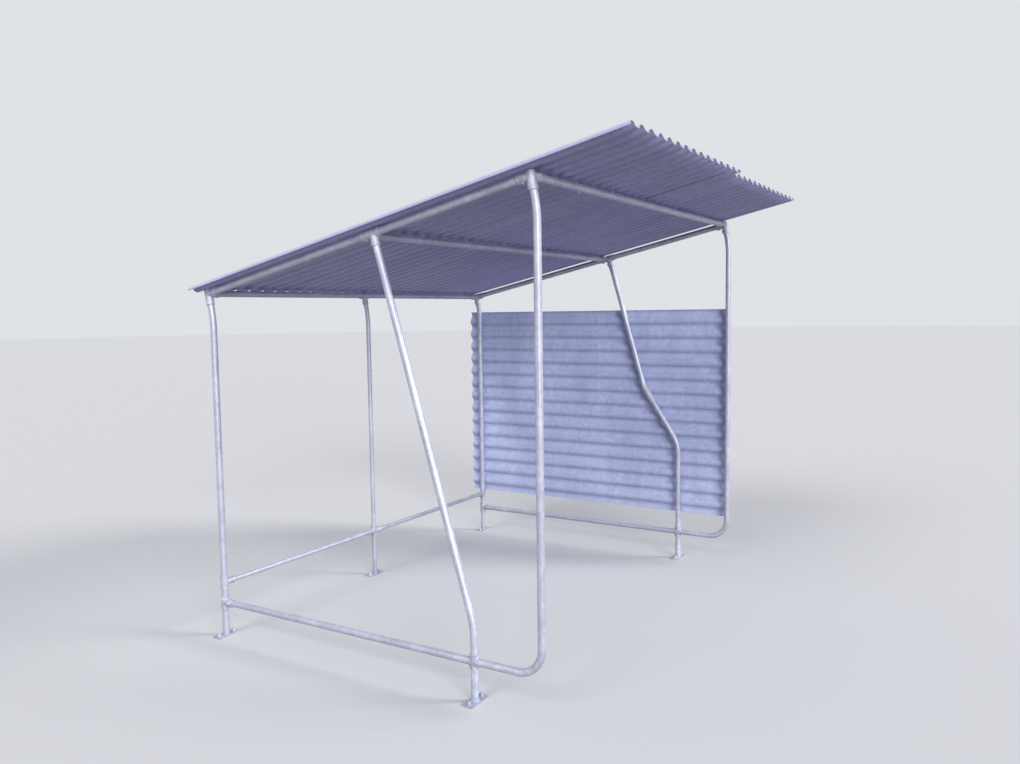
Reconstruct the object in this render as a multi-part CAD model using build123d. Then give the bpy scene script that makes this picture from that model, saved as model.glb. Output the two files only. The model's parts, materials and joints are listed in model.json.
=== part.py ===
from build123d import *
from math import asin, atan2, ceil, cos, pi, radians, sin, tan
import os

# Bike shelter: a frame of galvanised tube under a sloping roof of corrugated sheet.
# The high, open side faces -Y and the low side +Y. Left is -X. The floor is Z = 0.
# Pieces are placed from the middle of the frame and moved to the middle of the whole at the end.

# Tubes
frame_tube = 26.9
frame_wall = 2.6
light_tube = 21.3
light_wall = 2.6
fit_clearance = 0.2
end_gap = 0.4
seat_gap = 0.02
lap_gap = 0.02

# Frame
frame_spacing = 2005.0
post_spacing = 1543.0
front_node_height = 1787.0
back_node_height = 1448.0
middle_purlin_back = 675.0
middle_post_place = 968.0
rail_height = 145.0
back_rail_height = 230.0
lean_radius = 500.0
foot_bend_radius = 95.0

# Struts
strut_back = 270.0
strut_ahead = 22.0
strut_bend_height = 271.0
strut_bend_radius = 313.0
right_joint_height = 931.0
right_bend_height = 631.0
right_bend_radius = 180.0

# Sleeves of the fittings
sleeve_wall = 2.6
sleeve_step = 0.1
bore_step = 0.03
sleeve_reach = 48.0
sleeve_grip = 30.0
cap_thickness = 3.0
cross_grip = 18.0
cross_reach_above = 30.0
cross_reach_below = 25.0
coupling_mouth = 12.0
coupling_reach = 105.0
coupling_bend_radius = 25.0

# Feet
foot_length = 104.0
foot_width = 46.0
foot_thickness = 5.0
foot_hole = 11.0
foot_hole_spacing = 77.0
foot_spigot = 70.0

# Corrugated sheet
wave_pitch = 76.0
wave_depth = 18.0
sheet_thickness = 0.6
roof_lap_crests = 2
roof_front_overhang = 360.0
roof_back_overhang = 72.0
roof_left_overhang = 60.0
roof_right_overhang = 5.0
left_sheet_ahead = 24.0
turned_edge_radius = 9.0
turned_edge_drop = 4.0
panel_height = 1102.0
panel_bottom = 252.0
panel_back_overhang = 80.0
panel_front_overhang = 0.0

# Worked out from the sizes above
frame_radius = frame_tube / 2
light_radius = light_tube / 2
half_spacing = frame_spacing / 2
front_y = -post_spacing / 2
back_y = post_spacing / 2
slope = atan2(front_node_height - back_node_height, post_spacing)
lean_reach = sleeve_reach + lean_radius * tan(slope / 2)
top_lean = lean_reach * sin(slope)
up_slope = Vector(0, sin(slope), cos(slope))
down_slope = Vector(0, cos(slope), -sin(slope))
along = Vector(1, 0, 0)
upward = Vector(0, 0, 1)
backward = Vector(0, 1, 0)
half_wave = wave_pitch / 2
wave_rise = wave_depth / 2
wave_radius = (half_wave**2 / 4 + wave_rise**2) / (2 * wave_rise)
wave_lean = asin(half_wave / 2 / wave_radius)
sheet_half = sheet_thickness / 2
roof_length = post_spacing / cos(slope) + roof_front_overhang + roof_back_overhang
roof_waves = round((frame_spacing + roof_left_overhang + roof_right_overhang) / wave_pitch)
sheet_crests = ceil((roof_waves + 1 + roof_lap_crests) / 2)
panel_crests = round((panel_height + half_wave) / wave_pitch)


def bore_radius(tube):
    return tube / 2 + fit_clearance


def sleeve_radius(tube):
    return bore_radius(tube) + sleeve_wall


def front_node(x):
    return Vector(x, front_y + top_lean, front_node_height)


def back_node(x):
    return Vector(x, back_y + top_lean, back_node_height)


def middle_node(x):
    return front_node(x) + down_slope * (middle_purlin_back / cos(slope))


def strut_node(x):
    return middle_node(x) - down_slope * (strut_ahead / cos(slope))


def rod(start, end, radius):
    axis = end - start
    place = Plane(origin=start, z_dir=axis)
    return place * Cylinder(radius, axis.length, align=(Align.CENTER, Align.CENTER, Align.MIN))


def straight_tube(start, end, diameter, wall):
    reach = (end - start).normalized()
    return rod(start, end, diameter / 2) - rod(start - reach, end + reach, diameter / 2 - wall)


def bent_path(points, radii):
    """Straight runs joined by tangent arcs, one radius for each inner point."""
    edges = []
    last = points[0]
    for before, corner, after, radius in zip(points, points[1:], points[2:], radii):
        arrive = (corner - before).normalized()
        leave = (after - corner).normalized()
        half_turn = radians(arrive.get_angle(leave)) / 2
        setback = radius * tan(half_turn)
        arc_start = corner - arrive * setback
        arc_end = corner + leave * setback
        inward = (leave - arrive).normalized()
        arc_middle = corner + inward * (radius / cos(half_turn) - radius)
        edges.append(Line(last, arc_start))
        edges.append(ThreePointArc(arc_start, arc_middle, arc_end))
        last = arc_end
    edges.append(Line(last, points[-1]))
    return Wire(edges)


def bent_tube(points, radii, diameter, wall):
    path = bent_path(points, radii)
    section = Plane(origin=points[0], z_dir=points[1] - points[0])
    ring = section * Circle(diameter / 2) - section * Circle(diameter / 2 - wall)
    return sweep(ring, path=path)


def fitting(sleeves, bores):
    """Sleeves joined into one casting and bored, in sizes that differ a little where they cross."""
    body = rod(*sleeves[0])
    for number, (start, end, radius) in enumerate(sleeves[1:], 1):
        body = body + rod(start, end, radius - number * sleeve_step)
    for number, (start, end, radius) in enumerate(bores):
        body = body - rod(start, end, radius + number * bore_step)
    return body


def front_post(side):
    """Ground rail, foot bend, post and leaning top in one tube."""
    x = side * half_spacing
    rail_end = Vector(x, back_y - frame_radius - end_gap, rail_height)
    foot = Vector(x, front_y, rail_height)
    top = front_node(x)
    knee = top - up_slope * lean_reach
    tip = top + up_slope * (frame_radius - cap_thickness)
    return bent_tube([rail_end, foot, knee, tip], [foot_bend_radius, lean_radius], frame_tube, frame_wall)


def back_post(x, diameter, wall, tip_reach):
    foot = Vector(x, back_y, foot_thickness)
    top = back_node(x)
    knee = top - up_slope * lean_reach
    tip = top + up_slope * tip_reach
    return bent_tube([foot, knee, tip], [lean_radius], diameter, wall)


def rafter(side):
    x = side * half_spacing
    gap = frame_radius + end_gap
    return straight_tube(
        front_node(x) + down_slope * gap, back_node(x) - down_slope * gap, frame_tube, frame_wall
    )


def purlin(node):
    gap = along * (frame_radius + end_gap)
    return straight_tube(node(-half_spacing) + gap, node(half_spacing) - gap, frame_tube, frame_wall)


def strut_corner(side, height):
    """Point on the upright line over the foot of a strut."""
    return Vector(side * half_spacing, front_y + strut_back, height)


def strut_top(side):
    """Square end of a strut, clear of the round rafter that it leans against."""
    top = strut_node(side * half_spacing)
    down = (strut_corner(side, strut_bend_height) - top).normalized()
    lean = radians(down.get_angle(-up_slope))
    return top + down * (frame_radius / cos(lean) + frame_radius * tan(lean) + end_gap)


def strut_seat(side):
    return strut_corner(side, rail_height + frame_radius + end_gap)


def left_strut():
    points = [strut_top(-1), strut_corner(-1, strut_bend_height), strut_seat(-1)]
    return bent_tube(points, [strut_bend_radius], frame_tube, frame_wall)


def right_joint():
    top = strut_top(1)
    corner = strut_corner(1, strut_bend_height)
    share = (right_joint_height - top.Z) / (corner.Z - top.Z)
    return top + (corner - top) * share


def joint_gap():
    """Room that the square ends of the two strut tubes need at their slight turn."""
    joint = right_joint()
    turn = (joint - strut_top(1)).get_angle(strut_corner(1, right_bend_height) - joint)
    return frame_radius * tan(radians(turn) / 2) + end_gap


def right_strut_upper():
    joint = right_joint()
    direction = (joint - strut_top(1)).normalized()
    return straight_tube(strut_top(1), joint - direction * joint_gap(), frame_tube, frame_wall)


def right_strut_lower():
    joint = right_joint()
    corner = strut_corner(1, right_bend_height)
    direction = (corner - joint).normalized()
    start = joint + direction * joint_gap()
    return bent_tube([start, corner, strut_seat(1)], [right_bend_radius], frame_tube, frame_wall)


def foot_plate(x, y):
    corner = (Align.CENTER, Align.CENTER, Align.MIN)
    plate = Pos(x, y, 0) * Box(foot_length, foot_width, foot_thickness, align=corner)
    for side in (-1, 1):
        hole = Pos(x + side * foot_hole_spacing / 2, y, 0) * Cylinder(foot_hole / 2, 3 * foot_thickness)
        plate = plate - hole
    return plate


def back_foot(x, tube, wall):
    """A drilled base plate with a spigot that stands in the end of a post."""
    base = Vector(x, back_y, 0)
    spigot = rod(base, base + upward * foot_spigot, tube / 2 - wall - fit_clearance)
    return foot_plate(base.X, base.Y) + spigot


def strut_foot(side):
    """A drilled base plate with a leg that reaches up to the ground rail."""
    base = strut_corner(side, 0)
    leg_top = strut_corner(side, rail_height - frame_radius - end_gap)
    leg = rod(base, leg_top, frame_radius)
    hollow = rod(base + upward * foot_thickness, leg_top + upward, frame_radius - frame_wall)
    return foot_plate(base.X, base.Y) + leg - hollow


def corner_fitting(node, side, rafter_way):
    """Three sleeves at a roof corner: post, rafter and purlin."""
    outer = sleeve_radius(frame_tube)
    inner = bore_radius(frame_tube)
    top = node + up_slope * outer
    post_end = node - up_slope * sleeve_reach
    rafter_end = node + rafter_way * sleeve_reach
    purlin_end = node - along * side * sleeve_reach
    sleeves = [
        (post_end, top, outer),
        (node, rafter_end, outer),
        (node, purlin_end, outer),
    ]
    bores = [
        (post_end - up_slope, top - up_slope * (cap_thickness - end_gap), inner),
        (node, rafter_end + rafter_way, inner),
        (node, purlin_end - along * side, inner),
    ]
    return fitting(sleeves, bores)


def left_rafter_clamp():
    """Sleeve on the rafter with a socket for the strut and, behind it, one for the purlin."""
    node = middle_node(-half_spacing)
    strut_start = strut_node(-half_spacing)
    outer = sleeve_radius(frame_tube)
    inner = bore_radius(frame_tube)
    down = (strut_corner(-1, strut_bend_height) - strut_start).normalized()
    purlin_end = node + along * sleeve_reach
    front_end = strut_start - down_slope * sleeve_grip
    back_end = node + down_slope * sleeve_grip
    strut_end = strut_start + down * sleeve_reach
    sleeves = [
        (front_end, back_end, outer),
        (strut_start, strut_end, outer),
        (node, purlin_end, outer),
    ]
    bores = [
        (front_end - down_slope, back_end + down_slope, inner),
        (strut_start, strut_end + down, inner),
        (node, purlin_end + along, inner),
    ]
    return fitting(sleeves, bores)


def tee(centre, run, run_tube, arms, arm_tube):
    """Sleeve that slides on one tube, with a socket for each tube that ends at it."""
    start = centre - run * sleeve_grip
    end = centre + run * sleeve_grip
    sleeves = [(start, end, sleeve_radius(run_tube))]
    bores = [(start - run, end + run, bore_radius(run_tube))]
    for arm in arms:
        tip = centre + arm * sleeve_reach
        sleeves.append((centre, tip, sleeve_radius(arm_tube)))
        bores.append((centre, tip + arm, bore_radius(arm_tube)))
    return fitting(sleeves, bores)


def rail_cross(side):
    """Sleeve on the ground rail with a socket above for the strut and one below for its leg."""
    centre = strut_corner(side, rail_height)
    above = centre + upward * cross_reach_above
    below = centre - upward * cross_reach_below
    front_end = centre - backward * cross_grip
    back_end = centre + backward * cross_grip
    sleeves = [
        (front_end, back_end, sleeve_radius(frame_tube)),
        (below, above, sleeve_radius(frame_tube)),
    ]
    bores = [
        (front_end - backward, back_end + backward, bore_radius(frame_tube)),
        (below - upward, above + upward, bore_radius(frame_tube)),
    ]
    return fitting(sleeves, bores)


def strut_coupling():
    """Sleeve over the joint of the two-part strut, following its slight turn."""
    joint = right_joint()
    upper = (strut_top(1) - joint).normalized()
    lower = (strut_corner(1, right_bend_height) - joint).normalized()
    points = [joint + upper * coupling_mouth, joint, joint + lower * coupling_reach]
    return bent_tube(points, [coupling_bend_radius], 2 * sleeve_radius(frame_tube), sleeve_wall)


def arc_about(centre, radius, angles):
    """Arc through three angles, measured from straight up and clockwise."""
    return ThreePointArc(*[centre + Vector(sin(angle), cos(angle)) * radius for angle in angles])


def face_edges(side_shift, crests, turned):
    """One face of a corrugated sheet in section: tangent arcs, from crest to crest."""
    crest = Vector(half_wave / 2, wave_rise)
    first_turn = 0 if turned else -wave_lean
    edges = []
    for number in range(crests):
        top = crest + Vector(number * wave_pitch, -wave_radius)
        start = -wave_lean if number else first_turn
        edges.append(arc_about(top, wave_radius + side_shift, [start, wave_lean / 2, wave_lean]))
    for number in range(crests - 1):
        bottom = crest + Vector(number * wave_pitch + half_wave, wave_radius - wave_depth)
        turns = [pi + wave_lean, pi, pi - wave_lean]
        edges.append(arc_about(bottom, wave_radius - side_shift, turns))
    if turned:
        centre = crest - Vector(0, turned_edge_radius)
        radius = turned_edge_radius + side_shift
        edges.append(arc_about(centre, radius, [-pi / 2, -pi / 4, 0]))
        start = centre - Vector(radius, 0)
        edges.append(Line(start, start - Vector(0, turned_edge_drop)))
    return edges


def wave_section(crests, turned=False):
    """Section of corrugated sheet, ending half way down a wave or in an edge turned down."""
    edges = face_edges(sheet_half, crests, turned) + face_edges(-sheet_half, crests, turned)
    across = Vector(sin(wave_lean), cos(wave_lean)) * sheet_half
    last = Vector(crests * wave_pitch - half_wave, 0)
    edges.append(Line(last - across, last + across))
    across = Vector(-across.X, across.Y)
    first = Vector(0, 0)
    if turned:
        across = Vector(sheet_half, 0)
        first = Vector(half_wave / 2 - turned_edge_radius, wave_rise - turned_edge_radius - turned_edge_drop)
    edges.append(Line(first - across, first + across))
    return make_face(edges)


def roof_sheet(side, lift, ahead):
    """Sheet laid on the purlins and rafters, its waves down the slope and its side turned down."""
    outer_crest = side * (roof_waves * wave_pitch / 2) + (roof_right_overhang - roof_left_overhang) / 2
    start_x = outer_crest + side * half_wave / 2
    rise = sleeve_radius(frame_tube) + seat_gap + wave_rise + sheet_half + lift
    corner = front_node(start_x) - down_slope * (roof_front_overhang + ahead) + up_slope * rise
    place = Plane(origin=corner, x_dir=-along * side, z_dir=down_slope * side)
    return extrude(place * wave_section(sheet_crests, turned=True), side * roof_length)


def side_panel():
    """Sheet on its side across the outside of the right-hand posts."""
    x = half_spacing + sleeve_radius(frame_tube) + seat_gap + wave_rise + sheet_half
    start_y = front_y - panel_front_overhang
    length = post_spacing + panel_front_overhang + panel_back_overhang
    place = Plane(origin=(x, start_y, panel_bottom), x_dir=upward, z_dir=backward)
    return extrude(place * wave_section(panel_crests), length)


def side_pieces(side, name):
    x = side * half_spacing
    rail_tee_place = Vector(x, back_y, rail_height)
    return {
        f"{name}_front_post": front_post(side),
        f"{name}_back_post": back_post(x, frame_tube, frame_wall, frame_radius - cap_thickness),
        f"{name}_rafter": rafter(side),
        f"front_{name}_corner": corner_fitting(front_node(x), side, down_slope),
        f"back_{name}_corner": corner_fitting(back_node(x), side, -down_slope),
        f"{name}_rail_cross": rail_cross(side),
        f"{name}_rail_tee": tee(rail_tee_place, upward, frame_tube, [-backward], frame_tube),
        f"{name}_strut_foot": strut_foot(side),
        f"{name}_back_foot": back_foot(x, frame_tube, frame_wall),
    }


def back_rail(start, end, start_radius, end_radius):
    height = upward * back_rail_height
    return straight_tube(
        Vector(start + start_radius + end_gap, back_y) + height,
        Vector(end - end_radius - end_gap, back_y) + height,
        light_tube,
        light_wall,
    )


def cross_pieces():
    """What runs from one side frame to the other, and the middle post between them."""
    middle_x = middle_post_place - half_spacing
    post_reach = -frame_radius - end_gap
    rail_middle = Vector(middle_x, back_y, back_rail_height)
    rail_left = Vector(-half_spacing, back_y, back_rail_height)
    rail_right = Vector(half_spacing, back_y, back_rail_height)
    return {
        "front_purlin": purlin(front_node),
        "middle_purlin": purlin(middle_node),
        "back_purlin": purlin(back_node),
        "middle_back_post": back_post(middle_x, light_tube, light_wall, post_reach),
        "middle_post_tee": tee(back_node(middle_x), along, frame_tube, [-up_slope], light_tube),
        "middle_back_foot": back_foot(middle_x, light_tube, light_wall),
        "back_rail_left": back_rail(-half_spacing, middle_x, frame_radius, light_radius),
        "back_rail_right": back_rail(middle_x, half_spacing, light_radius, frame_radius),
        "back_rail_tee_left": tee(rail_left, upward, frame_tube, [along], light_tube),
        "back_rail_tee_middle": tee(rail_middle, upward, light_tube, [along, -along], light_tube),
        "back_rail_tee_right": tee(rail_right, upward, frame_tube, [-along], light_tube),
    }


lap_lift = (sheet_thickness + lap_gap) / cos(wave_lean)
pieces = {**side_pieces(-1, "left"), **side_pieces(1, "right"), **cross_pieces()}
pieces["left_rafter_clamp"] = left_rafter_clamp()
pieces["right_rafter_clamp"] = mirror(pieces["left_rafter_clamp"], about=Plane.YZ)
pieces["left_strut"] = left_strut()
pieces["right_strut_upper"] = right_strut_upper()
pieces["right_strut_lower"] = right_strut_lower()
pieces["right_strut_coupling"] = strut_coupling()
pieces["roof_sheet_left"] = roof_sheet(-1, lap_lift, left_sheet_ahead)
pieces["roof_sheet_right"] = roof_sheet(1, 0, 0)
pieces["side_panel"] = side_panel()

boxes = [piece.bounding_box() for piece in pieces.values()]
centre_x = (min(box.min.X for box in boxes) + max(box.max.X for box in boxes)) / 2
centre_y = (min(box.min.Y for box in boxes) + max(box.max.Y for box in boxes)) / 2

os.makedirs("parts", exist_ok=True)
for name, piece in pieces.items():
    export_step(Pos(-centre_x, -centre_y, 0) * piece, f"parts/{name}.step")
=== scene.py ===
# %% [markdown]
# # A bike shelter of galvanised tube and corrugated sheet
# The tubes, pipe fittings, feet and sheets arrive as finished solids. This lesson dresses them:
# it adds the small fastenings that hold such a shelter together, gives every surface a weathered
# zinc finish, and sets up a plain studio to look at it. Everything is in metres, in the frame of
# the solids.

# %% Load the solids
import json
from math import cos, pi, radians, sin, tan

import bmesh
import bpy
from mathutils import Matrix, Vector


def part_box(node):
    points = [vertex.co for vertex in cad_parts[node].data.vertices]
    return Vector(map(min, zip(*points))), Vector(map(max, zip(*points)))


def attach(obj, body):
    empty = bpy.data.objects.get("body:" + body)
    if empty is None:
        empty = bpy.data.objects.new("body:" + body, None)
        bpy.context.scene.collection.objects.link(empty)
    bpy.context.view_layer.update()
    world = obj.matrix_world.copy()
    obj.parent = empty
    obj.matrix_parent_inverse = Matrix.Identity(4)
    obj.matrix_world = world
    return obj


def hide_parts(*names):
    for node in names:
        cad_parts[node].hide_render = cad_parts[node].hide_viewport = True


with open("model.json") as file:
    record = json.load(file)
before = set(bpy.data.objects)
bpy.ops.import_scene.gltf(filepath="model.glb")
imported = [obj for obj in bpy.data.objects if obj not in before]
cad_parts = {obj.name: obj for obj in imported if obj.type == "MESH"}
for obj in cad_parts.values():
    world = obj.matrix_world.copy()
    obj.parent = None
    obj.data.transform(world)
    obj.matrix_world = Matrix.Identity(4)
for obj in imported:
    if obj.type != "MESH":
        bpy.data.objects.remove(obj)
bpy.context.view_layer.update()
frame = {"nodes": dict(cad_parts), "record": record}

nodes = frame["nodes"]

# %% [markdown]
# ## Where things are
# Everything that is added sits on a tube, a fitting or a sheet, so the lesson first works out the
# lines that these lie on. Two upright side frames stand 2 m apart, joined by three purlins: the
# level tubes that carry the roof. The struts meet the rafters a little in front of the middle
# purlin. Reading the tubes' own boxes keeps the added pieces in place if the solids ever move.

# %% The frame's lines
TUBE_R = 0.01345
SLEEVE_R = 0.01625
LIGHT_SLEEVE_R = 0.01345
STRUT_AHEAD = 0.022


def middle(node, axis):
    low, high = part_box(node)
    return (low[axis] + high[axis]) / 2


def purlin_line(node):
    return Vector((0, middle(node, 1), middle(node, 2)))


left_x = middle("left_back_post", 0)
right_x = middle("right_back_post", 0)
middle_x = middle("middle_back_post", 0)
back_y = middle("left_back_foot", 1)
front_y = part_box("left_front_post")[0][1] + TUBE_R
strut_y = middle("left_strut_foot", 1)
rail_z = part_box("left_front_post")[0][2] + TUBE_R
back_rail_z = middle("back_rail_left", 2)
front_node = purlin_line("front_purlin")
middle_node = purlin_line("middle_purlin")
back_node = purlin_line("back_purlin")
down_slope = (back_node - front_node).normalized()
up_slope = Vector((0, -down_slope.z, down_slope.y))
strut_node = middle_node - down_slope * (STRUT_AHEAD / down_slope.y)
along = Vector((1, 0, 0))
backward = Vector((0, 1, 0))
upward = Vector((0, 0, 1))


def at(x, node):
    return Vector((x, node.y, node.z))


print("side frames at x", round(left_x, 4), round(right_x, 4))
print("posts at y", round(front_y, 4), round(back_y, 4))

# %% [markdown]
# ## The camera
# The eye stands outside the left frame, a little in front of it and at chest height, and looks
# across the open front. Its place and turn were solved from the straight tubes: nothing is
# shifted, and the lens is set by its focal length on a 36 mm wide sensor. That length was found
# in pixels, in a picture 1020 pixels wide.

# %% Camera
YAW, PITCH, ROLL = 1.0228, -0.0825, -0.0140
OUTSIDE, IN_FRONT, ABOVE_RAIL = 2.3961, 1.3531, 1.2137
SENSOR_WIDTH = 36.0
FOCAL_PIXELS = 856.42
PICTURE_PIXELS = 1020
forward = Vector((sin(YAW) * cos(PITCH), cos(YAW) * cos(PITCH), sin(PITCH)))
level = Vector((cos(YAW), -sin(YAW), 0))
tilt_up = level.cross(forward)
right = level * cos(ROLL) + tilt_up * sin(ROLL)
up = tilt_up * cos(ROLL) - level * sin(ROLL)

camera_data = bpy.data.cameras.new("camera")
camera_data.sensor_width = SENSOR_WIDTH
camera_data.lens = SENSOR_WIDTH * FOCAL_PIXELS / PICTURE_PIXELS
camera = bpy.data.objects.new("camera", camera_data)
eye = Matrix.Translation((left_x - OUTSIDE, front_y - IN_FRONT, rail_z + ABOVE_RAIL))
camera.matrix_world = eye @ Matrix((right, up, -forward)).transposed().to_4x4()
bpy.context.scene.collection.objects.link(camera)
bpy.context.scene.camera = camera
print("camera at", [round(v, 3) for v in eye.translation], "lens", round(camera_data.lens, 2))

# %% [markdown]
# ## Shapes turned on an axis
# Most of the small pieces are round: beads, washers, screws and domed caps. A short profile is
# spun round the Z axis into a closed shape, as on a lathe, and then stood on its seat with its
# axis pointing where it should. The spin merges its first and last step, and the normals are
# recalculated, because a spin can turn a shape inside out. Nuts and heads are six-sided blocks
# that are made the same way up.

# %% Lathe, hexagon and seat helpers
MERGE = 1e-6


def stand(mesh, seat, axis):
    """Moves a new shape from the Z axis to a seat, with Z turned to the axis."""
    turn = Vector(axis).to_track_quat("Z", "Y").to_matrix().to_4x4()
    bmesh.ops.transform(mesh, matrix=Matrix.Translation(seat) @ turn, verts=mesh.verts)


def lathe(profile, seat, axis, steps=24):
    """Spins points of radius and height. A profile that starts on the axis ends there."""
    mesh = bmesh.new()
    points = [mesh.verts.new((radius, 0, height)) for radius, height in profile]
    edges = [mesh.edges.new(pair) for pair in zip(points, points[1:])]
    if profile[0][0] > 0:
        edges.append(mesh.edges.new((points[-1], points[0])))
    bmesh.ops.spin(mesh, geom=points + edges, cent=(0, 0, 0), axis=(0, 0, 1), angle=2 * pi,
                   steps=steps, use_merge=True)
    bmesh.ops.remove_doubles(mesh, verts=mesh.verts, dist=MERGE)
    bmesh.ops.recalc_face_normals(mesh, faces=mesh.faces)
    stand(mesh, seat, axis)
    return mesh


def pushed_circle(segments, radius, low, high):
    """A capped circle at one height, pushed straight up to another."""
    mesh = bmesh.new()
    base = bmesh.ops.create_circle(mesh, cap_ends=True, segments=segments, radius=radius)
    bmesh.ops.translate(mesh, vec=(0, 0, low), verts=base["verts"])
    raised = bmesh.ops.extrude_face_region(mesh, geom=list(mesh.faces))
    top = [item for item in raised["geom"] if isinstance(item, bmesh.types.BMVert)]
    bmesh.ops.translate(mesh, vec=(0, 0, high - low), verts=top)
    bmesh.ops.recalc_face_normals(mesh, faces=mesh.faces)
    return mesh


def hexagon(seat, axis, radius, low, high, soften):
    """A nut or a bolt head with softened rims."""
    mesh = pushed_circle(6, radius, low, high)
    bmesh.ops.bevel(mesh, geom=list(mesh.edges), offset=soften, offset_type="OFFSET", segments=2,
                    profile=0.5, affect="EDGES", material=-1)
    stand(mesh, seat, axis)
    return mesh


# %% [markdown]
# ## Joining small parts into a piece
# A fitting's beads and screws, or a row of bolts, are one piece each: their meshes are joined in
# place, so the object itself stays at the origin. Faces that meet at a sharp angle keep a crisp
# edge, and the round ones are shaded smooth.

# %% Piece helper
CREASE = radians(38)
added = {}


def shade_smooth(mesh):
    mesh.polygons.foreach_set("use_smooth", [True] * len(mesh.polygons))


def piece(name, parts, slot):
    """Joins bmesh parts into one named object that rides with the shelter."""
    joined = bpy.data.meshes.new(name)
    whole = bmesh.new()
    for part in parts:
        part.to_mesh(joined)
        part.free()
        whole.from_mesh(joined)
    for edge in whole.edges:
        edge.smooth = len(edge.link_faces) == 2 and edge.calc_face_angle() < CREASE
    whole.to_mesh(joined)
    whole.free()
    shade_smooth(joined)
    made = bpy.data.objects.new(name, joined)
    bpy.context.scene.collection.objects.link(made)
    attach(made, "root")
    added[name] = (made, slot)
    print(name, len(parts), "parts", len(joined.polygons), "faces")
    return made


# %% [markdown]
# ## Sockets
# Every fitting is a malleable iron casting with one socket for each tube. Each socket ends in a
# low rolled bead, and a set screw in a raised boss bites on the tube. All the sockets are listed
# once, as the middle of the mouth, the way the socket points, its outer radius and the way its
# screw faces. The screws on upright sockets face back, as they do on the real frame.

# %% List the sockets
REACH = 0.048
GRIP = 0.030
CROSS_ABOVE = 0.030
CROSS_BELOW = 0.025
CROSS_GRIP = 0.018
STRUT_CORNER_Z = 0.271
sockets = []


def socket(node, centre, way, reach, radius, screw):
    sockets.append((node, centre + way * reach, way, radius, screw))


def corner_sockets(name, side, x, node, rafter_way):
    centre = at(x, node)
    socket(name, centre, -up_slope, REACH, SLEEVE_R, backward)
    socket(name, centre, rafter_way, REACH, SLEEVE_R, -up_slope)
    socket(name, centre, -along * side, REACH, SLEEVE_R, -down_slope)


strut_line = {}
for side, name, x in ((-1, "left", left_x), (1, "right", right_x)):
    corner_sockets("front_%s_corner" % name, side, x, front_node, down_slope)
    corner_sockets("back_%s_corner" % name, side, x, back_node, -down_slope)
    strut_corner = Vector((x, strut_y, STRUT_CORNER_Z))
    strut_line[side] = (strut_corner - at(x, strut_node)).normalized()
    clamp_name = "%s_rafter_clamp" % name
    socket(clamp_name, at(x, strut_node), strut_line[side], REACH, SLEEVE_R, backward)
    socket(clamp_name, at(x, middle_node), down_slope, GRIP, SLEEVE_R, -up_slope)
    socket(clamp_name, at(x, strut_node), -down_slope, GRIP, SLEEVE_R, None)
    socket(clamp_name, at(x, middle_node), -along * side, REACH, SLEEVE_R, down_slope)
    cross = Vector((x, strut_y, rail_z))
    cross_name = "%s_rail_cross" % name
    socket(cross_name, cross, upward, CROSS_ABOVE, SLEEVE_R, None)
    socket(cross_name, cross, -upward, CROSS_BELOW, SLEEVE_R, None)
    socket(cross_name, cross, backward, CROSS_GRIP, SLEEVE_R, None)
    socket(cross_name, cross, -backward, CROSS_GRIP, SLEEVE_R, None)
    tee = Vector((x, back_y, rail_z))
    tee_name = "%s_rail_tee" % name
    socket(tee_name, tee, upward, GRIP, SLEEVE_R, along * side)
    socket(tee_name, tee, -upward, GRIP, SLEEVE_R, None)
    socket(tee_name, tee, -backward, REACH, SLEEVE_R, along * side)
    rail = Vector((x, back_y, back_rail_z))
    rail_name = "back_rail_tee_%s" % name
    socket(rail_name, rail, upward, GRIP, SLEEVE_R, None)
    socket(rail_name, rail, -upward, GRIP, SLEEVE_R, None)
    socket(rail_name, rail, -along * side, REACH, LIGHT_SLEEVE_R, backward)

post_tee = at(middle_x, back_node)
socket("middle_post_tee", post_tee, -up_slope, REACH, LIGHT_SLEEVE_R, backward)
socket("middle_post_tee", post_tee, along, GRIP, SLEEVE_R, down_slope)
socket("middle_post_tee", post_tee, -along, GRIP, SLEEVE_R, None)
middle_rail = Vector((middle_x, back_y, back_rail_z))
for way in (upward, -upward):
    socket("back_rail_tee_middle", middle_rail, way, GRIP, LIGHT_SLEEVE_R, None)
for way in (along, -along):
    socket("back_rail_tee_middle", middle_rail, way, REACH, LIGHT_SLEEVE_R, backward)
print(len(sockets), "socket mouths")

# %% [markdown]
# ## The two-part strut
# The far strut is made of two tubes, joined by a sleeve where it turns a little. The upper tube
# aims at the corner that the near strut has, and stops short of the rafter that it leans against,
# by half a tube measured along the lean. The lower tube runs from the joint to a higher corner
# of its own.

# %% The sleeve on the far strut
END_GAP = 0.0004
JOINT_Z = 0.931
FAR_CORNER_Z = 0.631
COUPLING_UP = 0.012
COUPLING_DOWN = 0.105
far_line = strut_line[1]
lean = far_line.angle(-up_slope)
half_tube = TUBE_R / cos(lean) + TUBE_R * tan(lean)
strut_top = at(right_x, strut_node) + far_line * (half_tube + END_GAP)
aim = Vector((right_x, strut_y, STRUT_CORNER_Z))
joint = strut_top.lerp(aim, (JOINT_Z - strut_top.z) / (aim.z - strut_top.z))
lower_line = (Vector((right_x, strut_y, FAR_CORNER_Z)) - joint).normalized()
socket("right_strut_coupling", joint, -far_line, COUPLING_UP, SLEEVE_R, None)
socket("right_strut_coupling", joint, lower_line, COUPLING_DOWN, SLEEVE_R, backward)
print("strut joint at", [round(v, 4) for v in joint])

# %% [markdown]
# ## Beads, bosses and set screws
# The bead is a small rounded band round the mouth, about a millimetre proud, as the mould leaves
# it. The set screw is a short plug with a hollow end, and bites through a low boss of cast metal.
# Beads and bosses are part of the casting, so they are kept apart from the plugs, which are not.

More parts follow.
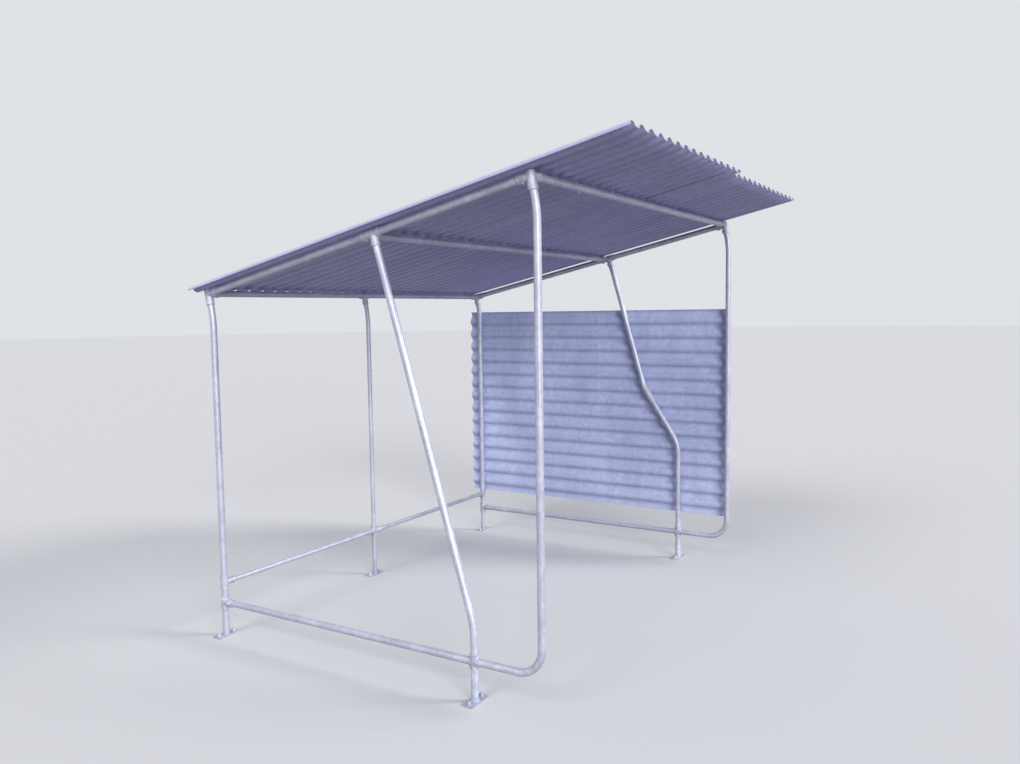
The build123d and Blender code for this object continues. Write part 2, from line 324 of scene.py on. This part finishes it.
# %% Beads, bosses and plugs
BEAD = ((-0.0001, -0.0001), (0.0005, 0.0001), (0.0009, 0.0008), (0.0011, 0.0018),
        (0.0010, 0.0032), (0.0005, 0.0044), (-0.0001, 0.0052))
BEAD_END = 0.0052
BORE_STEP = 0.0022
BOSS = ((0.0, -0.0020), (0.0080, -0.0020), (0.0074, 0.0010), (0.0062, 0.0023), (0.0, 0.0023))
BOSS_BACK = 0.016
BOSS_SINK = 0.0001
PLUG = ((0.0, 0.0010), (0.0043, 0.0010), (0.0043, 0.0034), (0.0038, 0.0040), (0.0025, 0.0040),
        (0.0023, 0.0028), (0.0, 0.0028))


def bead(mouth, way, radius):
    """The band round a mouth. Its inner side is hidden in the sleeve's wall."""
    inner = radius - BORE_STEP
    band = [(radius + rise, back) for rise, back in BEAD]
    return lathe([(inner, 0.0)] + band + [(inner, BEAD_END)], mouth, -way, steps=36)


cast_parts = {}
plugs = {}
for node, mouth, way, radius, screw in sockets:
    cast_parts.setdefault(node, []).append(bead(mouth, way, radius))
    if screw is not None:
        side_way = (screw - way * screw.dot(way)).normalized()
        foot = mouth - way * BOSS_BACK + side_way * (radius - BOSS_SINK)
        cast_parts[node].append(lathe(BOSS, foot, side_way))
        plugs.setdefault(node, []).append(lathe(PLUG, foot, side_way, steps=18))
for node, parts in plugs.items():
    piece(node + "_set_screws", parts, "cast_fitting")

# %% [markdown]
# ## Castings
# Iron that was poured in a sand mould has no sharp edges: its rims are round and its sleeves flow
# into each other. A bevel would have to find its way round every crossing of two sleeves.
# Remeshing is simpler: a merged copy of the solid, with its beads and bosses, is rebuilt from
# small voxels, which joins them into one skin. A little smoothing rounds it, and a decimation
# takes out the points that the shape does not need. The copy then stands for the solid in the
# picture.

# %% Round the fittings
VOXEL = 0.0010
SMOOTHINGS = 8
KEPT_FACES = 0.24


def add_modifier(made, kind, **settings):
    modifier = made.modifiers.new(kind.lower(), kind)
    for key, value in settings.items():
        setattr(modifier, key, value)


def casting(node):
    copy = bmesh.new()
    copy.from_mesh(nodes[node].data)
    bmesh.ops.remove_doubles(copy, verts=copy.verts, dist=MERGE)
    made = piece(node + "_casting", [copy] + cast_parts[node], "cast_fitting")
    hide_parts(node)
    add_modifier(made, "REMESH", mode="VOXEL", voxel_size=VOXEL)
    add_modifier(made, "SMOOTH", factor=0.5, iterations=SMOOTHINGS)
    add_modifier(made, "DECIMATE", ratio=KEPT_FACES)
    bpy.context.view_layer.update()
    evaluated = made.evaluated_get(bpy.context.evaluated_depsgraph_get())
    shaped = bpy.data.meshes.new_from_object(evaluated)
    made.modifiers.clear()
    made.data = shaped
    shade_smooth(shaped)
    print(made.name, len(shaped.polygons), "faces after rounding")


for node in cast_parts:
    casting(node)

# %% [markdown]
# ## Roof screws
# The roof sheets are held by long screws through the crests, where rain runs past them. A domed
# washer keeps the crest dry, the shank crosses the hollow of the wave, and its point ends inside
# the purlin, so the purlins look clean from below. Only one of them is a bolt that goes right
# through the front purlin, with a washer and nut under it. There is a screw on every fourth or
# fifth crest, and both sheets share the one in their lap.

# %% Screws into the purlins
WAVE = 0.076
WAVE_DEPTH = 0.018
SHEET = 0.0006
SEAT_GAP = 0.00002
LAP_LIFT = 0.00098
FIRST_CREST_OUT = 0.051
SCREW_CRESTS = (1, 5, 9, 13, 18, 22, 26)
THROUGH_CREST = 5
SCREW_BITE = 0.008
UNDER_SINK = 0.0002
DOME = ((0.0, 0.0046), (0.0058, 0.0044), (0.0090, 0.0031), (0.0114, 0.0008), (0.0121, -0.0010),
        (0.0112, -0.0012), (0.0, 0.0022))
SCREW_HEAD = dict(radius=0.0060, low=0.0040, high=0.0082, soften=0.0006)
BOLT_END = ((0.0, -0.0020), (0.0030, -0.0020), (0.0030, 0.0083), (0.0022, 0.0092), (0.0, 0.0092))
NUT_WASHER = ((0.0028, 0.0), (0.0062, 0.0), (0.0066, 0.0005), (0.0062, 0.0014), (0.0028, 0.0014))
NUT = dict(radius=0.0058, low=0.0014, high=0.0062, soften=0.0005)
crest_zero = left_x - FIRST_CREST_OUT
lap_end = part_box("roof_sheet_left")[1][0]
crest_rise = SLEEVE_R + SEAT_GAP + WAVE_DEPTH + SHEET


def roof_screw(axis_point, rise):
    """Head and domed washer on the crest, and a pointed shank that ends inside the tube."""
    crest = axis_point + up_slope * rise
    tip = TUBE_R - rise - SCREW_BITE
    shank = ((0.0, tip), (0.0022, tip + 0.0045), (0.0028, tip + 0.0060), (0.0028, 0.0025),
             (0.0, 0.0025))
    return [lathe(DOME, crest, up_slope, steps=28), lathe(shank, crest, up_slope, steps=12),
            hexagon(crest, up_slope, **SCREW_HEAD)]


def through_bolt(axis_point):
    """The shank, washer and nut under the tube, where one bolt goes right through."""
    under = axis_point - up_slope * (TUBE_R - UNDER_SINK)
    return [lathe(BOLT_END, under, -up_slope, steps=12), lathe(NUT_WASHER, under, -up_slope),
            hexagon(under, -up_slope, **NUT)]


for name, line in (("front", front_node), ("middle", middle_node), ("back", back_node)):
    parts = []
    for crest in SCREW_CRESTS:
        x = crest_zero + WAVE * crest
        rise = crest_rise + (LAP_LIFT if x < lap_end else 0.0)
        parts.extend(roof_screw(at(x, line), rise))
    if name == "front":
        parts.extend(through_bolt(at(crest_zero + WAVE * THROUGH_CREST, line)))
    piece(name + "_roof_screws", parts, "cast_fitting")

# %% [markdown]
# ## The shadow line at the lap
# The two roof sheets lap over two waves. Where they overhang the front purlin, a thin dark strip
# lies in the hollow beside the lower sheet's edge. It is painted shade: it stands in for the
# shadow of the lap's edge, which shows from below as one fine line. A small circle pushed along
# the slope is enough for it.

# %% Painted shadow line in the lap
LAP_WAVES = 12.56
LAP_SHADOW_R = 0.0012
LAP_SHADOW_SINK = 0.0006
LAP_SHADOW_LENGTH = 0.330
LAP_SHADOW_AHEAD = 0.357
lap_line = at(crest_zero + WAVE * LAP_WAVES, front_node) + up_slope * (SLEEVE_R - LAP_SHADOW_SINK)
# A thin dark tube of painted shade, standing in for the shadow at the lap's edge.
lap_shadow_line = pushed_circle(12, LAP_SHADOW_R, 0, LAP_SHADOW_LENGTH)
stand(lap_shadow_line, lap_line - down_slope * LAP_SHADOW_AHEAD, down_slope)
lap_shadow_piece = piece("lap_shadow_strip", [lap_shadow_line], "corrugated_sheet")

# %% [markdown]
# ## Panel screws
# The side panel is screwed on from outside, in the hollows that touch the posts and the strut.
# Each screw has a six-sided head on a broad washer, and its shank bridges the small gap to the
# tube. The front row sits just inside the panel's cut edge.

# %% Screws through the side panel
PANEL_BOTTOM = 0.252
HOLLOW_WAVES = 0.75
FRONT_ROW_IN = 0.0085
END_HOLLOWS = (0, 4, 8, 13)
STRUT_HOLLOWS = (0, 3)
PANEL_WASHER = ((0.0022, -0.0001), (0.0070, -0.0001), (0.0073, 0.0005), (0.0064, 0.0013),
                (0.0022, 0.0016))
PANEL_HEAD = dict(radius=0.0046, low=0.0012, high=0.0058, soften=0.0005)
hollow_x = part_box("side_panel")[0][0] + SHEET
first_hollow = PANEL_BOTTOM + HOLLOW_WAVES * WAVE


def panel_screw(y, z):
    seat = Vector((hollow_x, y, z))
    depth = right_x - hollow_x
    shank = ((0.0, depth), (0.0024, depth), (0.0024, 0.0020), (0.0, 0.0020))
    return [lathe(PANEL_WASHER, seat, along), lathe(shank, seat, along, steps=12),
            hexagon(seat, along, **PANEL_HEAD)]


parts = []
for y, hollows in ((front_y + FRONT_ROW_IN, END_HOLLOWS), (strut_y, STRUT_HOLLOWS),
                   (back_y, END_HOLLOWS)):
    for hollow in hollows:
        parts.extend(panel_screw(y, first_hollow + WAVE * hollow))
piece("side_panel_screws", parts, "cast_fitting")

# %% [markdown]
# ## Foot bolts
# Each base plate has two holes. A washer and a hexagon head sit over each, with the end of the
# stud showing, and a bead of weld runs round the foot of the two struts' legs. The weld gets a
# slight ripple, as the electrode leaves it.

# %% Foot bolts and weld
PLATE = 0.005
HOLE_SPACING = 0.077
FOOT_WASHER = ((0.0046, 0.0), (0.0101, 0.0), (0.0104, 0.0006), (0.0101, 0.0018),
               (0.0046, 0.0018))
STUD = ((0.0, -0.0045), (0.0046, -0.0045), (0.0046, 0.0125), (0.0038, 0.0135), (0.0, 0.0135))
FOOT_HEAD = dict(radius=0.0088, low=0.0018, high=0.0092, soften=0.0007)
WELD = ((-0.0005, -0.0003), (0.0042, -0.0003), (0.0036, 0.0016), (0.0018, 0.0034),
        (-0.0005, 0.0044))
WELD_TOE = 0.001
RIPPLE = 0.0004
RIPPLES = 16.0
FEET = (("left_strut_foot", left_x, strut_y), ("right_strut_foot", right_x, strut_y),
        ("left_back_foot", left_x, back_y), ("middle_back_foot", middle_x, back_y),
        ("right_back_foot", right_x, back_y))


def ground_bolt(seat):
    return [lathe(FOOT_WASHER, seat, upward), lathe(STUD, seat, upward, steps=16),
            hexagon(seat, upward, **FOOT_HEAD)]


def weld(seat, radius):
    """A fillet round a leg, rippled above its toe."""
    ring = lathe([(radius + out, height) for out, height in WELD], seat, upward, steps=64)
    for vert in ring.verts:
        if vert.co.z > PLATE + WELD_TOE:
            turn = (vert.co.xy - seat.xy).angle_signed((1, 0))
            vert.co.z += RIPPLE * sin(RIPPLES * turn)
    return ring


for node, x, y in FEET:
    parts = []
    for side in (-1, 1):
        parts.extend(ground_bolt(Vector((x + side * HOLE_SPACING / 2, y, PLATE))))
    if "strut" in node:
        parts.append(weld(Vector((x, y, PLATE)), TUBE_R))
    piece(node + "_bolts", parts, "galvanised_foot")

# %% [markdown]
# ## Finishes
# Zinc weathers to a soft grey with faint crystals, paler and darker patches, streaks where rain
# runs, chalky white bloom, and dirt near the ground. All of that is one node group, and each
# material sets how strong each part of it is. First come short helpers that make and wire nodes.


# %% Node helpers
def wire(tree, start, end):
    tree.links.new(start, end)


def feed(tree, socket_in, value):
    """Wires a socket, or sets a plain value."""
    if isinstance(value, bpy.types.NodeSocket):
        wire(tree, value, socket_in)
    else:
        socket_in.default_value = value


def add_node(tree, kind, **settings):
    node = tree.nodes.new(kind)
    for key, value in settings.items():
        setattr(node, key, value)
    return node


def mix_colour(tree, factor, a, b):
    node = add_node(tree, "ShaderNodeMix", data_type="RGBA", blend_type="MIX")
    for index, value in ((0, factor), (6, a), (7, b)):
        feed(tree, node.inputs[index], value)
    return node.outputs[2]


def ramp(tree, source, low, high, to_low=0.0, to_high=1.0):
    node = add_node(tree, "ShaderNodeMapRange")
    wire(tree, source, node.inputs["Value"])
    for key, value in (("From Min", low), ("From Max", high),
                       ("To Min", to_low), ("To Max", to_high)):
        node.inputs[key].default_value = value
    return node.outputs["Result"]


def maths(tree, operation, a, b):
    node = add_node(tree, "ShaderNodeMath", operation=operation)
    feed(tree, node.inputs[0], a)
    feed(tree, node.inputs[1], b)
    return node.outputs[0]


def times(tree, a, b):
    return maths(tree, "MULTIPLY", a, b)


def plus(tree, a, b):
    return maths(tree, "ADD", a, b)


def stretch(tree, place, factors):
    node = add_node(tree, "ShaderNodeVectorMath", operation="MULTIPLY")
    feed(tree, node.inputs[0], place)
    feed(tree, node.inputs[1], factors)
    return node.outputs[0]


def split_xyz(tree, vector):
    node = add_node(tree, "ShaderNodeSeparateXYZ")
    wire(tree, vector, node.inputs[0])
    return node.outputs


def noise(tree, place, scale, detail, roughness=0.6):
    node = add_node(tree, "ShaderNodeTexNoise", noise_dimensions="3D")
    wire(tree, place, node.inputs["Vector"])
    feed(tree, node.inputs["Scale"], scale)
    node.inputs["Detail"].default_value = detail
    node.inputs["Roughness"].default_value = roughness
    return node.outputs["Fac"]


# %% [markdown]
# ## The weathered zinc group
# Noise at two sizes makes the patches and the mottle, a stretched noise makes the streaks, and a
# cell pattern makes the zinc crystals, each with its own faint shade. Together they slide the
# colour from dark to pale. Chalk and ground dirt are laid over that. The group puts out a colour,
# a roughness and a height, all of which change over the surface.

# %% Group for weathered zinc
ZINC_INPUTS = (
    ("Stretch", "NodeSocketVector", (1.0, 1.0, 1.0)),
    ("Streak Stretch", "NodeSocketVector", (30.0, 30.0, 3.0)),
    ("Pale", "NodeSocketColor", (0.6, 0.6, 0.6, 1)),
    ("Dark", "NodeSocketColor", (0.4, 0.4, 0.4, 1)),
    ("Chalk Colour", "NodeSocketColor", (0.8, 0.8, 0.82, 1)),
    ("Dirt Colour", "NodeSocketColor", (0.12, 0.10, 0.09, 1)),
    ("Patch Size", "NodeSocketFloat", 8.0), ("Crystal Size", "NodeSocketFloat", 90.0),
    ("Crystal Strength", "NodeSocketFloat", 0.3), ("Streaks", "NodeSocketFloat", 0.3),
    ("Chalk", "NodeSocketFloat", 0.3), ("Dirt Height", "NodeSocketFloat", 0.2),
    ("Dirt", "NodeSocketFloat", 0.5), ("Roughness", "NodeSocketFloat", 0.45))
ZINC_OUTPUTS = (("Colour", "NodeSocketColor"), ("Roughness", "NodeSocketFloat"),
                ("Height", "NodeSocketFloat"))
MOTTLE_FINENESS = 6.0
GRAIN_FINENESS = 520.0


def zinc_group():
    group = bpy.data.node_groups.new("weathered_zinc", "ShaderNodeTree")
    for name, kind, start in ZINC_INPUTS:
        entry = group.interface.new_socket(name, in_out="INPUT", socket_type=kind)
        entry.default_value = start
    for name, kind in ZINC_OUTPUTS:
        group.interface.new_socket(name, in_out="OUTPUT", socket_type=kind)
    enter = group.nodes.new("NodeGroupInput").outputs
    leave = group.nodes.new("NodeGroupOutput").inputs
    place = group.nodes.new("ShaderNodeTexCoord").outputs["Object"]

    patches = noise(group, stretch(group, place, enter["Stretch"]), enter["Patch Size"], 5.0)
    mottle = noise(group, place, times(group, enter["Patch Size"], MOTTLE_FINENESS), 4.0, 0.7)
    streaks = noise(group, stretch(group, place, enter["Streak Stretch"]), 1.0, 3.0, 0.55)
    grain = noise(group, place, GRAIN_FINENESS, 2.0)
    cells = add_node(group, "ShaderNodeTexVoronoi", voronoi_dimensions="3D", feature="F1")
    wire(group, place, cells.inputs["Vector"])
    wire(group, enter["Crystal Size"], cells.inputs["Scale"])
    cell_colour = add_node(group, "ShaderNodeSeparateColor")
    wire(group, cells.outputs["Color"], cell_colour.inputs[0])
    shade = cell_colour.outputs[0]

    mask = times(group, ramp(group, patches, 0.36, 0.64), 0.6)
    mask = plus(group, mask, ramp(group, mottle, 0.35, 0.65, to_high=0.4))
    crystals = maths(group, "SUBTRACT", shade, 0.5)
    mask = plus(group, mask, times(group, crystals, enter["Crystal Strength"]))
    runs = ramp(group, streaks, 0.35, 0.65, -0.5, 0.5)
    mask = plus(group, mask, times(group, runs, enter["Streaks"]))
    zinc = mix_colour(group, mask, enter["Dark"], enter["Pale"])

    bloom = times(group, ramp(group, mottle, 0.50, 0.66), ramp(group, patches, 0.42, 0.60))
    chalk = times(group, bloom, enter["Chalk"])
    zinc = mix_colour(group, chalk, zinc, enter["Chalk Colour"])

    risen = maths(group, "DIVIDE", split_xyz(group, place)["Z"], enter["Dirt Height"])
    low = maths(group, "SUBTRACT", 1.0, risen)
    broken = times(group, low, ramp(group, mottle, 0.38, 0.60))
    dirt = times(group, ramp(group, broken, 0.05, 0.75), enter["Dirt"])
    zinc = mix_colour(group, dirt, zinc, enter["Dirt Colour"])

    rough = plus(group, enter["Roughness"], times(group, ramp(group, mottle, 0.3, 0.7), 0.12))
    rough = plus(group, rough, times(group, chalk, 0.25))
    rough = plus(group, rough, times(group, dirt, 0.25))
    bumps = plus(group, times(group, grain, 0.30), times(group, mottle, 0.55))
    bumps = plus(group, bumps, times(group, shade, 0.06))
    wire(group, zinc, leave["Colour"])
    wire(group, rough, leave["Roughness"])
    wire(group, bumps, leave["Height"])
    return group


weathered = zinc_group()
print("group", weathered.name, len(weathered.nodes), "nodes")

# %% [markdown]
# ## The side of the roof that the rain reaches
# The top of a zinc sheet bleaches to a pale grey in the rain, while its underside keeps its first
# blue tinge. Rain washes the crests and leaves dust in the hollows. The upward part of the normal
# tells top from underside. The waves follow each other along X, so a cosine of X tells crest from
# hollow, and a stretched noise breaks both masks into long runs.

# %% Group for the rained side
RAINED_SOCKETS = (("First Crest", "INPUT", 0.0), ("Bleach", "INPUT", 0.6),
                  ("Dust", "INPUT", 0.4), ("Bleached", "OUTPUT", 0.0), ("Dusty", "OUTPUT", 0.0))
RUN_STRETCH = (14.0, 1.2, 2.0)


def rained_group():
    group = bpy.data.node_groups.new("rained_side", "ShaderNodeTree")
    for name, side, start in RAINED_SOCKETS:
        entry = group.interface.new_socket(name, in_out=side, socket_type="NodeSocketFloat")
        entry.default_value = start
    enter = group.nodes.new("NodeGroupInput").outputs
    leave = group.nodes.new("NodeGroupOutput").inputs
    place = group.nodes.new("ShaderNodeTexCoord").outputs["Object"]
    normal = group.nodes.new("ShaderNodeNewGeometry").outputs["Normal"]

    past_crest = maths(group, "SUBTRACT", split_xyz(group, place)["X"], enter["First Crest"])
    wave = maths(group, "COSINE", times(group, past_crest, 2 * pi / WAVE), 0.0)
    runs = noise(group, stretch(group, place, RUN_STRETCH), 1.0, 4.0)
    top = ramp(group, split_xyz(group, normal)["Z"], 0.0, 0.4)
    washed = times(group, top, ramp(group, runs, 0.66, 0.34, 0.6, 1.0))
    hollows = times(group, top, ramp(group, wave, 0.0, -0.95))
    dust = times(group, hollows, ramp(group, runs, 0.36, 0.60))
    wire(group, times(group, washed, enter["Bleach"]), leave["Bleached"])
    wire(group, times(group, dust, enter["Dust"]), leave["Dusty"])
    return group


rained = rained_group()
print("group", rained.name, len(rained.nodes), "nodes")

# %% [markdown]
# ## One material for each finish
# Drawn tube is smooth and bright, castings are a little rougher, sheet is rolled and shows larger
# crystals and long streaks down the slope, and the feet are chalky and stained. The side panel is
# the same sheet with its streaks upright and duller, and it is painted paler than the roof: this
# is painted light, for the light that the panel catches under the roof. The roof sheet's own
# colour is painted darker, as painted shade for its shaded underside. Metallic is the same all
# over each surface, so it is set on the shader itself.

# %% Materials
BUMP_HEIGHT = 0.0006
SHEET_FINISH = dict(Patch_Size=5.0, Crystal_Size=85.0, Crystal_Strength=0.60)
# The next two colours are painted shade: the dark strip that stands in for the shadow at the
# lap's edge.
LAP_SHADOW_DARK = (0.17, 0.17, 0.27, 1)
LAP_SHADOW_MOTTLE = (0.28, 0.28, 0.43, 1)


def new_material(name):
    """A material with its node tree and the inputs of its shader."""
    material = bpy.data.materials.new(name)
    material.use_nodes = True
    tree = material.node_tree
    return material, tree, tree.nodes["Principled BSDF"].inputs


def finish(name, metallic, bump, **values):
    """Weathered zinc. The values go to the group's inputs, with _ for a space."""
    material, tree, shader = new_material(name)
    shader["Metallic"].default_value = metallic
    group = add_node(tree, "ShaderNodeGroup", node_tree=weathered)
    for key, value in values.items():
        group.inputs[key.replace("_", " ")].default_value = value
    wire(tree, group.outputs["Colour"], shader["Base Color"])
    wire(tree, group.outputs["Roughness"], shader["Roughness"])
    rise = add_node(tree, "ShaderNodeBump")
    rise.inputs["Strength"].default_value = bump
    rise.inputs["Distance"].default_value = BUMP_HEIGHT
    wire(tree, group.outputs["Height"], rise.inputs["Height"])
    wire(tree, rise.outputs["Normal"], shader["Normal"])
    return material


def lap_shadow_finish():
    """Painted shade for the lap's shadow line: a dull dark blue-grey with a lighter mottle."""
    material, tree, shader = new_material("lap_shadow_strip")
    place = add_node(tree, "ShaderNodeTexCoord").outputs["Object"]
    dust = noise(tree, place, 60.0, 4.0)
    wire(tree, mix_colour(tree, dust, LAP_SHADOW_DARK, LAP_SHADOW_MOTTLE), shader["Base Color"])
    wire(tree, ramp(tree, dust, 0.3, 0.7, 0.6, 0.85), shader["Roughness"])
    return material


materials = {
    "galvanised_tube": finish(
        "galvanised_tube", metallic=0.30, bump=0.22, Roughness=0.36, Pale=(0.58, 0.59, 0.70, 1),
        Dark=(0.41, 0.42, 0.53, 1), Patch_Size=9.0, Crystal_Size=170.0, Crystal_Strength=0.32,
        Streaks=0.2, Streak_Stretch=(60.0, 60.0, 6.0), Chalk=0.35,
        Chalk_Colour=(0.74, 0.75, 0.82, 1), Dirt_Height=0.10, Dirt=0.25),
    "cast_fitting": finish(
        "cast_fitting", metallic=0.30, bump=0.45, Roughness=0.46, Pale=(0.60, 0.605, 0.70, 1),
        Dark=(0.37, 0.375, 0.46, 1), Patch_Size=24.0, Crystal_Size=260.0, Crystal_Strength=0.2,
        Streaks=0.1, Chalk=0.35, Chalk_Colour=(0.74, 0.745, 0.81, 1), Dirt_Height=0.16,
        Dirt=0.5),
    "galvanised_foot": finish(
        "galvanised_foot", metallic=0.20, bump=0.60, Roughness=0.52, Pale=(0.66, 0.69, 0.82, 1),
        Dark=(0.40, 0.43, 0.56, 1), Patch_Size=22.0, Crystal_Size=200.0, Crystal_Strength=0.2,
        Streaks=0.15, Chalk=0.9, Chalk_Colour=(0.86, 0.87, 0.93, 1), Dirt_Height=0.03,
        Dirt=0.35),
    # The roof sheet's colour is painted darker than the panel's: painted shade for its shaded
    # underside.
    "corrugated_sheet": finish(
        "corrugated_sheet", metallic=0.20, bump=0.12, Roughness=0.44,
        Pale=(0.51, 0.505, 0.79, 1), Dark=(0.415, 0.41, 0.66, 1), Stretch=(1.0, 0.3, 0.6),
        Streaks=0.45, Streak_Stretch=(26.0, 1.5, 3.0), Chalk=0.25,
        Chalk_Colour=(0.57, 0.575, 0.78, 1), Dirt=0.0, **SHEET_FINISH),
}
# The panel's sheet is painted paler than the roof's: painted light, for the light it catches
# under the roof.
upright_sheet_painted_light = finish(
    "corrugated_sheet_upright_painted_light", metallic=0.08, bump=0.12, Roughness=0.56,
    Pale=(0.60, 0.65, 0.92, 1), Dark=(0.47, 0.515, 0.76, 1), Stretch=(1.0, 1.0, 0.5),
    Streaks=0.30, Streak_Stretch=(8.0, 22.0, 2.0), Chalk=0.35,
    Chalk_Colour=(0.72, 0.76, 0.93, 1), Dirt_Height=0.36, Dirt=0.35, **SHEET_FINISH)
print(len(materials) + 1, "finishes of zinc")

# %% [markdown]
# ## The rain on the roof, and a material for every piece
# The rained group is laid over the roof's own finish. Then each solid and each added piece gets
# the material of its slot. Only the panel and the strip of painted shade at the lap have one of
# their own.

# %% Dress the pieces
BLEACHED = (0.64, 0.66, 0.72, 1)
DUST_COLOUR = (0.25, 0.235, 0.24, 1)
DULLED = 0.35


def rain_on(material, bleach, dust):
    """Bleaches the top of the roof sheets, which dulls it too, and lays dust in the hollows."""
    tree = material.node_tree
    shader = tree.nodes["Principled BSDF"].inputs
    group = add_node(tree, "ShaderNodeGroup", node_tree=rained)
    for key, value in (("First Crest", crest_zero), ("Bleach", bleach), ("Dust", dust)):
        group.inputs[key].default_value = value
    zinc = shader["Base Color"].links[0].from_socket
    pale = mix_colour(tree, group.outputs["Bleached"], zinc, BLEACHED)
    dusty = mix_colour(tree, group.outputs["Dusty"], pale, DUST_COLOUR)
    wire(tree, dusty, shader["Base Color"])
    rough = shader["Roughness"].links[0].from_socket
    duller = plus(tree, rough, times(tree, group.outputs["Bleached"], DULLED))
    wire(tree, duller, shader["Roughness"])


rain_on(materials["corrugated_sheet"], bleach=0.72, dust=0.6)
slot_of = {entry["node"]: entry["material_slot"] for entry in frame["record"]["subparts"]}
for name, node in nodes.items():
    dressing = upright_sheet_painted_light if name == "side_panel" else materials[slot_of[name]]
    node.data.materials.clear()
    node.data.materials.append(dressing)
for made, slot in added.values():
    made.data.materials.append(materials[slot])
# The lap's strip gets its own dark colour, which is painted shade for the lap's shadow line.
lap_shadow_piece.data.materials[0] = lap_shadow_finish()
print("materials on", len(nodes), "solids and", len(added), "added pieces")

# %% [markdown]
# ## The studio
# A pale floor and a pale surround. What the camera and the reflections see is pale, but the floor
# sends back less light than that, so the roof's underside stays in its own shade as it does
# outdoors. The floor keeps the shelter's shadow.

# %% Floor and surround
FLOOR_RADIUS = 60.0
FLOOR_BOUNCE = (0.10, 0.096, 0.105, 1)
FLOOR_SEEN = (0.66, 0.665, 0.68, 1)
SKY_GLOW = (0.88, 0.91, 1.0, 1)
SKY_SEEN = (0.74, 0.76, 0.79, 1)


def seen_directly(tree):
    """One for what the eye, a reflection or a clear material sees, nought for bounced light."""
    path = add_node(tree, "ShaderNodeLightPath").outputs
    either = maths(tree, "MAXIMUM", path["Is Camera Ray"], path["Is Glossy Ray"])
    return maths(tree, "MAXIMUM", either, path["Is Transmission Ray"])


def background(tree, colour, strength):
    node = add_node(tree, "ShaderNodeBackground")
    node.inputs["Color"].default_value = colour
    node.inputs["Strength"].default_value = strength
    return node.outputs[0]


floor_mesh = bpy.data.meshes.new("floor")
floor_shape = bmesh.new()
bmesh.ops.create_circle(floor_shape, cap_ends=True, segments=64, radius=FLOOR_RADIUS)
floor_shape.to_mesh(floor_mesh)
floor_shape.free()
floor = bpy.data.objects.new("floor", floor_mesh)
bpy.context.scene.collection.objects.link(floor)
floor_paint, paint, paint_shader = new_material("floor_paint")
paint_shader["Roughness"].default_value = 0.9
paint_shader["Specular IOR Level"].default_value = 0.1
floor_colour = mix_colour(paint, seen_directly(paint), FLOOR_BOUNCE, FLOOR_SEEN)
wire(paint, floor_colour, paint_shader["Base Color"])
floor_mesh.materials.append(floor_paint)

world = bpy.data.worlds.new("surround")
world.use_nodes = True
bpy.context.scene.world = world
sky = world.node_tree
sky.nodes.clear()
blend = add_node(sky, "ShaderNodeMixShader")
wire(sky, seen_directly(sky), blend.inputs[0])
wire(sky, background(sky, SKY_GLOW, 0.40), blend.inputs[1])
wire(sky, background(sky, SKY_SEEN, 1.0), blend.inputs[2])
wire(sky, blend.outputs[0], add_node(sky, "ShaderNodeOutputWorld").inputs[0])
print("floor and surround made")

# %% [markdown]
# ## Lamps
# Three soft lamps of the sun kind light the whole floor evenly, so the background has no bright
# spot. The key comes from the open front, and makes the posts bright on one side. The fill comes
# low from the near side and reaches the panel under the roof. The edge lamp stands high on the
# near side, where the roof keeps it off the frame, and picks out the turned edge of the sheet.


# %% Lamps
def soft_lamp(name, towards, strength, spread, colour):
    data = bpy.data.lights.new(name, "SUN")
    data.energy = strength
    data.angle = radians(spread)
    data.color = colour
    made = bpy.data.objects.new(name, data)
    made.rotation_euler = Vector(towards).to_track_quat("Z", "Y").to_euler()
    made.location = Vector(towards) * 5
    bpy.context.scene.collection.objects.link(made)
    print("lamp", name, strength)


soft_lamp("key", (0.40, -0.78, 0.48), strength=1.85, spread=20, colour=(1.0, 0.98, 0.97))
soft_lamp("fill", (-0.58, -0.77, 0.26), strength=2.25, spread=26, colour=(0.97, 0.98, 1.0))
soft_lamp("edge", (-0.80, 0.05, 0.60), strength=1.2, spread=25, colour=(0.98, 0.99, 1.0))
bpy.context.scene.view_settings.view_transform = "Standard"
